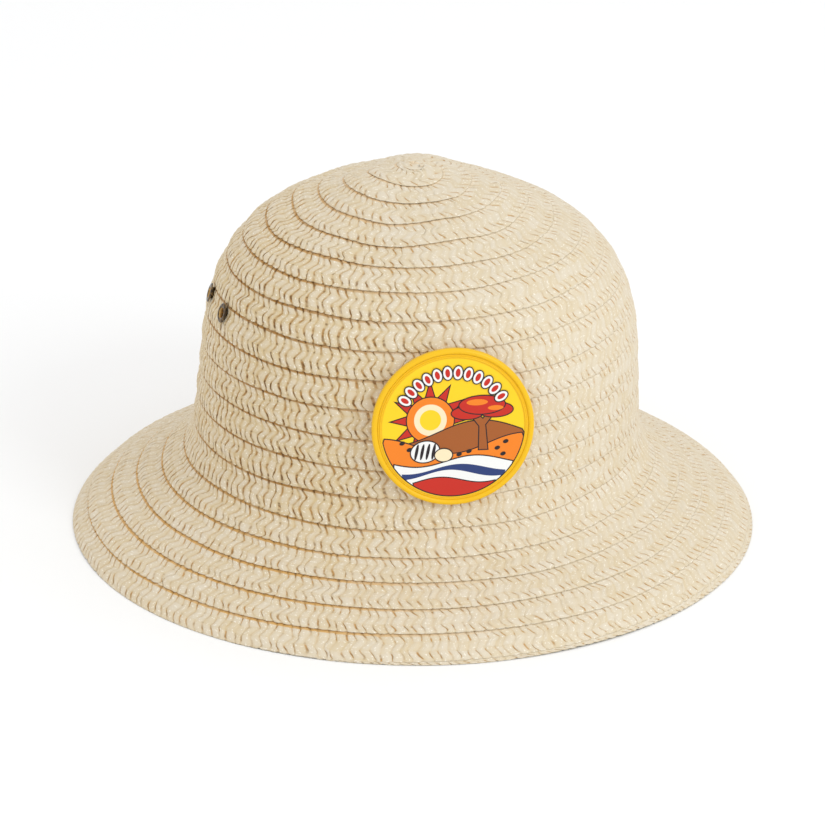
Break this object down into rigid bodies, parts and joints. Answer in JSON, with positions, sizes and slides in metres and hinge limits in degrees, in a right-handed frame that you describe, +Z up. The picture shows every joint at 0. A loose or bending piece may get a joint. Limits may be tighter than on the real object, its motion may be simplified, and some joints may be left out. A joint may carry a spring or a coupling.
{
  "type": "safari hat",
  "caption": "Child's safari hat of sewn straw braid, with a domed crown, a sloping brim, brass eyelets and a round front badge.",
  "frame": {"origin": "centre of the brim's lower edge, on the surface that the hat rests on", "axes": "-Y towards the hat's front, +X towards the wearer's left, +Z up"},
  "size_m": [0.265, 0.279, 0.143],
  "materials": {
    "paper_straw": "matt plaited paper straw",
    "badge_vinyl": "satin moulded vinyl",
    "badge_print": "printed film",
    "eyelet_brass": "antique brass"
  },
  "bodies": {
    "root": {"crown": "paper_straw", "brim": "paper_straw", "badge_tray": "badge_vinyl", "badge_face": "badge_print", "eyelet_left_front": "eyelet_brass", "eyelet_left_rear": "eyelet_brass", "eyelet_right_front": "eyelet_brass", "eyelet_right_rear": "eyelet_brass"}
  },
  "joints": []
}
